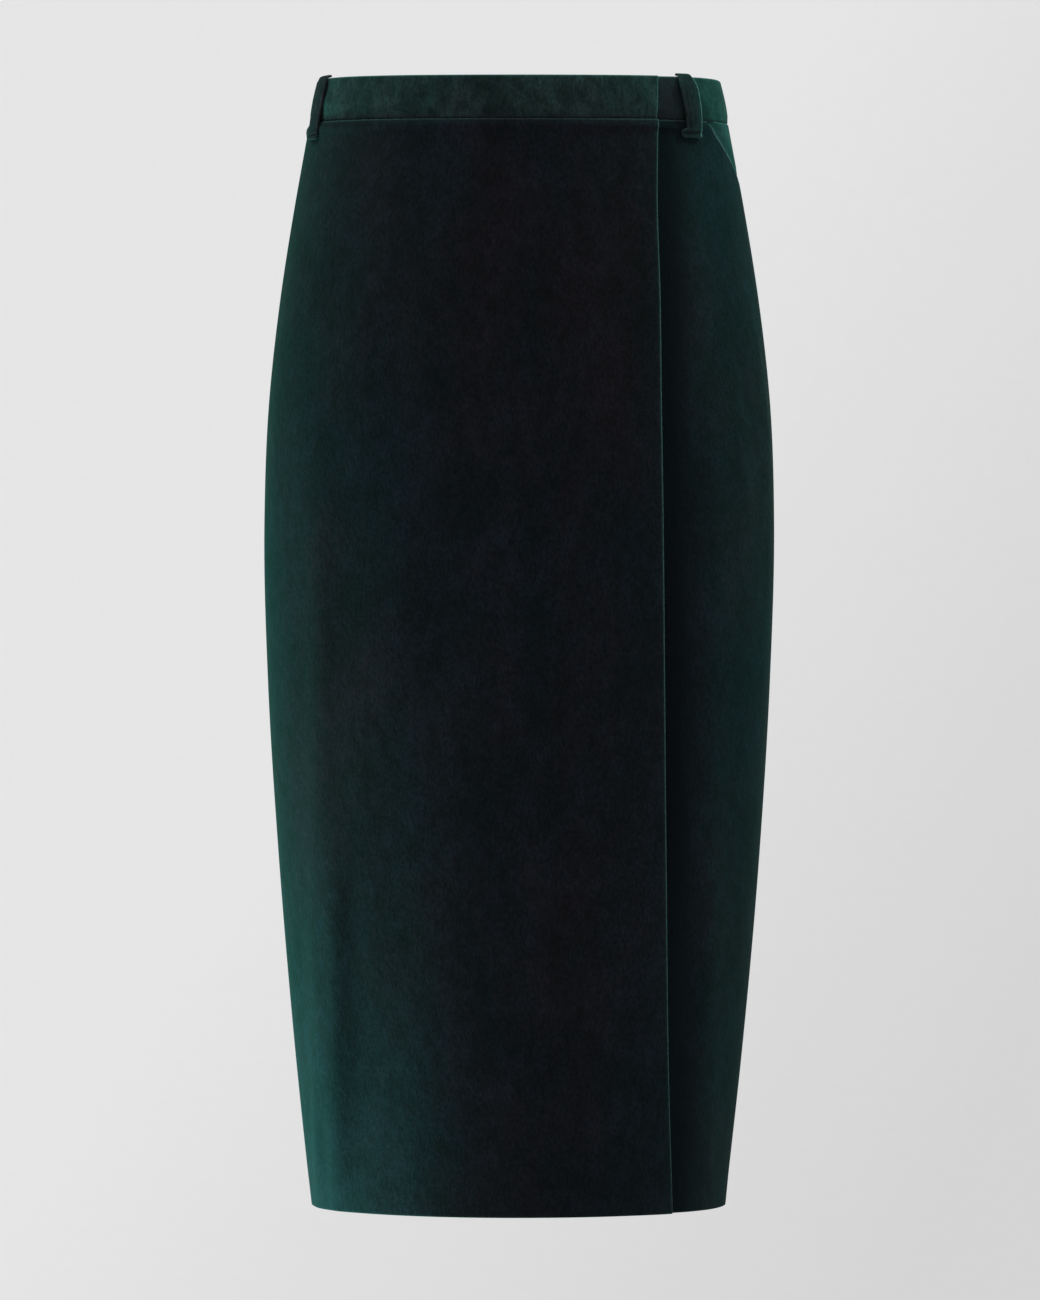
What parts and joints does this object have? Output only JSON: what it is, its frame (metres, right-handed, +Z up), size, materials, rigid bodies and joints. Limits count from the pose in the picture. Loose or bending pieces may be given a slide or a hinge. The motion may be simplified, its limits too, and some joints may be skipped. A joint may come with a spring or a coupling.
{
  "type": "wrap pencil skirt",
  "caption": "Midi wrap pencil skirt of dark green velvet, with a waistband, belt loops and a slanted hip pocket, filled out as when worn.",
  "frame": {"origin": "centre of the waist, at half the waistband's height on the centre front", "axes": "+Z up, -Y out of the wearer's front, +X to the wearer's left"},
  "size_m": [0.3647, 0.2434, 0.8054],
  "materials": {
    "panel_velvet": "deep bottle-green velvet pile, nearly black seen straight on and green at a grazing angle",
    "waistband_velvet": "the same velvet, folded double round interfacing"
  },
  "bodies": {
    "root": {"front_outer": "panel_velvet", "front_inner": "panel_velvet", "back": "panel_velvet", "pocket_hip_piece": "panel_velvet", "waistband_outer": "waistband_velvet", "waistband_inner": "waistband_velvet", "waistband_back": "waistband_velvet", "belt_loop_front_right": "waistband_velvet", "belt_loop_front_left": "waistband_velvet", "belt_loop_back_right": "waistband_velvet", "belt_loop_back_left": "waistband_velvet"}
  },
  "joints": []
}
